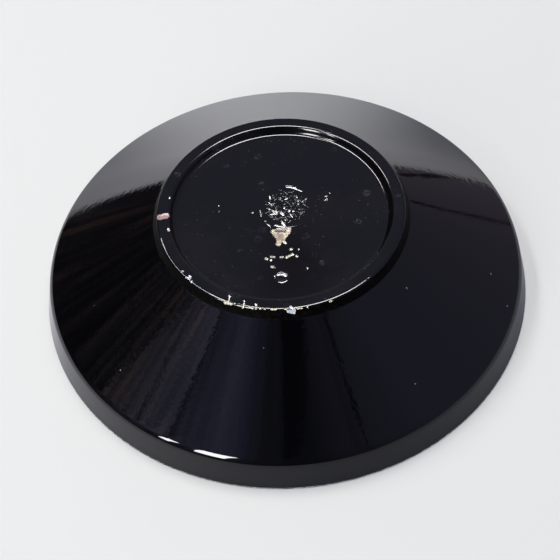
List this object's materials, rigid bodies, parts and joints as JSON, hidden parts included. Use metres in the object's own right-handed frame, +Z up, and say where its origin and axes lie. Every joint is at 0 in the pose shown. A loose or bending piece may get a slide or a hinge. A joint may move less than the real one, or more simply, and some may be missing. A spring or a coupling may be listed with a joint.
{
  "type": "bowl",
  "caption": "Shallow turned wooden bowl lying rim down: narrow rim band, straight conical flank, raised foot ring round a shallow recess, black lacquered outside, painted inside.",
  "frame": {"origin": "centre of the lip's circle, in the plane that the bowl lies on when it is rim down", "axes": "+Z up along the turning axis, from the lip to the foot ring, so the bowl is stored upside down as in the picture; turn it half round about X for use"},
  "size_m": [0.2422, 0.2422, 0.0586],
  "materials": {
    "linden_wood": "bare turned linden, seen only where the lacquer has chipped",
    "tin_ground": "tin powder rubbed into an oil ground, warm pale gold",
    "painted_lacquer": "gloss clear lacquer over a black ground with gold and red leaf and berry ornament",
    "black_gloss_lacquer": "deep black gloss lacquer with faint turning lines, dust and fine scratches",
    "black_satin_lacquer": "black lacquer, duller and pitted, worn and chipped at the foot ring's edge"
  },
  "bodies": {
    "root": {"wooden_body": "linden_wood", "inner_tin_ground": "tin_ground", "inner_painted_coat": "painted_lacquer", "lip_line_coat": "black_gloss_lacquer", "outer_lacquer_coat": "black_gloss_lacquer", "foot_coat": "black_satin_lacquer"}
  },
  "joints": []
}
